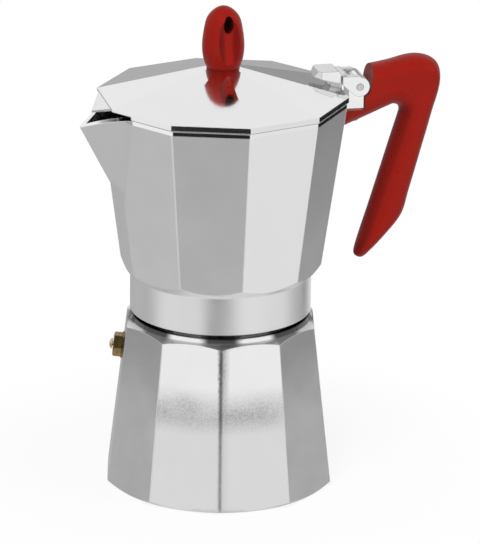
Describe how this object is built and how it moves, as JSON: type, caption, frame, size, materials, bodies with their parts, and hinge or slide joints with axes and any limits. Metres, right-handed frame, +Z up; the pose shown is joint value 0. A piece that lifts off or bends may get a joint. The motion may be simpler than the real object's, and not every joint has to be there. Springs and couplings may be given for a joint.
{
  "type": "moka pot",
  "caption": "Faceted stove-top moka pot: boiler with safety valve, filter funnel, screw-on collector with spout, hinged lid with knob and a plastic handle.",
  "frame": {"origin": "centre of the flat base, on the surface it stands on", "axes": "+Z up, +X towards the handle, the spout points to -X"},
  "size_m": [0.1604, 0.11, 0.2158],
  "materials": {
    "boiler_aluminium": "polished",
    "collector_aluminium": "polished",
    "lid_aluminium": "polished",
    "plain_aluminium": "satin",
    "red_plastic": "semi-gloss",
    "brass": "machined",
    "steel": "machined",
    "rubber": "matt"
  },
  "bodies": {
    "boiler": {"boiler": "boiler_aluminium", "valve_body": "brass", "valve_washer": "steel", "valve_spring": "steel", "valve_retainer": "brass", "funnel": "plain_aluminium", "funnel_screen": "plain_aluminium"},
    "valve_pin": {"valve_pin": "steel", "valve_seal": "rubber"},
    "gasket": {"gasket": "rubber", "filter_plate": "plain_aluminium"},
    "collector": {"collector": "collector_aluminium", "handle": "red_plastic", "handle_screw": "steel", "hinge_pin": "steel"},
    "lid": {"lid": "lid_aluminium", "lid_hinge": "plain_aluminium", "lid_rivets": "plain_aluminium", "knob": "red_plastic", "knob_insert": "brass", "knob_screw": "steel", "knob_washer": "steel"}
  },
  "joints": [
    {"name": "valve_lift", "type": "slide", "parent": "boiler", "child": "valve_pin", "axis": [-0.9717, 0.2065, 0.1149], "range_m": [0, 0.0015], "stiffness_N_per_m": 400, "springref_m": -0.004, "deforming": ["valve_spring"]},
    {"name": "collector_rise", "type": "slide", "parent": "boiler", "child": "gasket", "axis": [0, 0, 1], "range_m": [0, 0.00785]},
    {"name": "collector_turn", "type": "hinge", "parent": "gasket", "child": "collector", "pos_m": [0, 0, 0], "axis": [0, 0, 1], "range_deg": [0, 936]},
    {"name": "lid_open", "type": "hinge", "parent": "collector", "child": "lid", "pos_m": [0.05954, 0, 0.1783], "axis": [0, 1, 0], "range_deg": [0, 90]}
  ],
  "couplings": [
    {"joint": "collector_rise", "follows": "collector_turn", "m_per_rad": 0.00047746}
  ]
}
